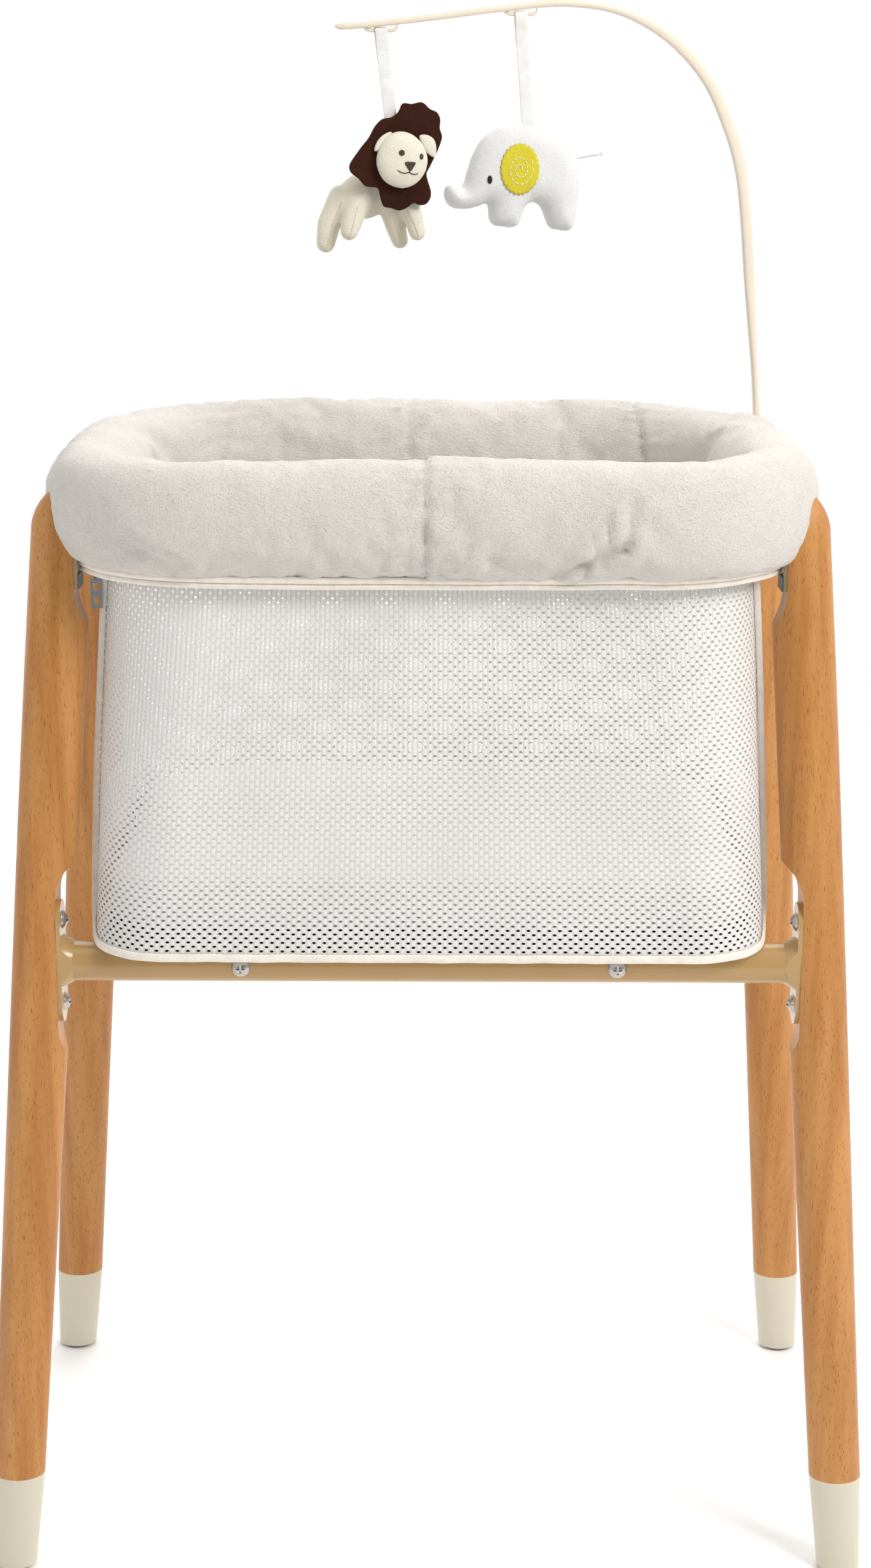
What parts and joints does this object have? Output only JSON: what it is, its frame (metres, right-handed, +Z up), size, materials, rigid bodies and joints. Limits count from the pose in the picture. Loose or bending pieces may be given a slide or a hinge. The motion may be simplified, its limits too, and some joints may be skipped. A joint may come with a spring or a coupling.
{
  "type": "bassinet on stand",
  "caption": "Baby bassinet on splayed wooden legs: padded oval rim, zipped see-through mesh basket with a mattress, lower metal rails and a curved mobile arm with hanging plush animals.",
  "frame": {"origin": "on the floor, midway between the feet: the centre of the bottom of the bounding box", "axes": "+X to the right seen from the front, +Y to the rear, +Z up"},
  "size_m": [0.7126, 0.451, 1.2446],
  "materials": {
    "beech_wood": "satin",
    "cream_plastic": "satin",
    "grey_nylon": "matte",
    "tan_paint": "satin",
    "screw_steel": "satin",
    "insert_brass": "satin",
    "grey_steel": "satin",
    "white_plastic": "satin",
    "rim_plush": "matte",
    "foam": "matte",
    "cream_trim": "matte",
    "white_mesh": "matte",
    "white_cotton": "matte",
    "fibre_board": "matte",
    "bright_metal": "polished",
    "brown_felt": "matte",
    "cream_plush": "matte",
    "grey_fabric": "matte",
    "yellow_felt": "matte"
  },
  "bodies": {
    "stand": {"arm_clamp_cap": "white_plastic", "arm_socket": "white_plastic", "base_board": "fibre_board", "basket_floor": "white_cotton", "bracket_spacers": "grey_nylon", "cross_bar_left": "tan_paint", "cross_bar_plugs": "grey_nylon", "cross_bar_right": "tan_paint", "cross_bar_screws": "screw_steel", "foot_cap_front_left": "cream_plastic", "foot_cap_front_right": "cream_plastic", "foot_cap_rear_left": "cream_plastic", "foot_cap_rear_right": "cream_plastic", "foot_glides": "grey_nylon", "front_hem_piping": "cream_trim", "front_mesh_panel": "white_mesh", "front_rail_flange_left": "tan_paint", "front_rail_flange_right": "tan_paint", "front_rail_tube": "tan_paint", "left_mesh_panel": "white_mesh", "leg_front_left": "beech_wood", "leg_front_right": "beech_wood", "leg_inserts": "insert_brass", "leg_rear_left": "beech_wood", "leg_rear_right": "beech_wood", "rail_flange_screws": "screw_steel", "rear_mesh_panel": "white_mesh", "rear_rail_flange_left": "tan_paint", "rear_rail_flange_right": "tan_paint", "rear_rail_tube": "tan_paint", "right_mesh_panel": "white_mesh", "rim_cover_left": "rim_plush", "rim_cover_right": "rim_plush", "rim_foam": "foam", "rim_piping": "cream_trim", "ring_bracket_front_left": "grey_steel", "ring_bracket_front_right": "grey_steel", "ring_bracket_rear_left": "grey_steel", "ring_bracket_rear_right": "grey_steel", "ring_bracket_screws": "screw_steel", "top_ring": "grey_steel", "zip_tape_left": "cream_trim", "zip_tape_right": "cream_trim"},
    "mobile": {"mobile_arm": "cream_plastic"},
    "lion": {"lion_ribbon": "white_cotton", "lion_mane": "brown_felt", "lion_head": "cream_plush", "lion_body": "cream_plush"},
    "elephant": {"elephant_ribbon": "white_cotton", "elephant_body": "grey_fabric", "elephant_ear_patch": "yellow_felt", "elephant_tail": "grey_fabric"},
    "zip_slider_body": {"zip_slider": "bright_metal"},
    "zip_pull_body": {"zip_pull": "bright_metal"},
    "mattress_body": {"mattress": "white_cotton"}
  },
  "joints": [
    {"name": "mobile_swivel", "type": "hinge", "parent": "stand", "child": "mobile", "pos_m": [0.2725, 0.08, 0.88], "axis": [0, 0, 1], "range_deg": [-100, 100]},
    {"name": "lion_swing", "type": "hinge", "parent": "mobile", "child": "lion", "pos_m": [-0.04065, 0.00943, 1.2196], "axis": [0.9755, 0.2198, 0], "range_deg": [-40, 40]},
    {"name": "elephant_swing", "type": "hinge", "parent": "mobile", "child": "elephant", "pos_m": [0.069, 0.03414, 1.2329], "axis": [0.9755, 0.2198, 0], "range_deg": [-40, 40]},
    {"name": "zip_slide", "type": "slide", "parent": "stand", "child": "zip_slider_body", "axis": [-0.057, 0, -0.9984], "range_m": [0, 0.24]},
    {"name": "zip_pull_hinge", "type": "hinge", "parent": "zip_slider_body", "child": "zip_pull_body", "pos_m": [-0.25425, -0.1367, 0.818], "axis": [-1, 0, 0], "range_deg": [0, 85]},
    {"name": "mattress_lift", "type": "slide", "parent": "stand", "child": "mattress_body", "axis": [0, 0, 1], "range_m": [0, 0.04]}
  ]
}
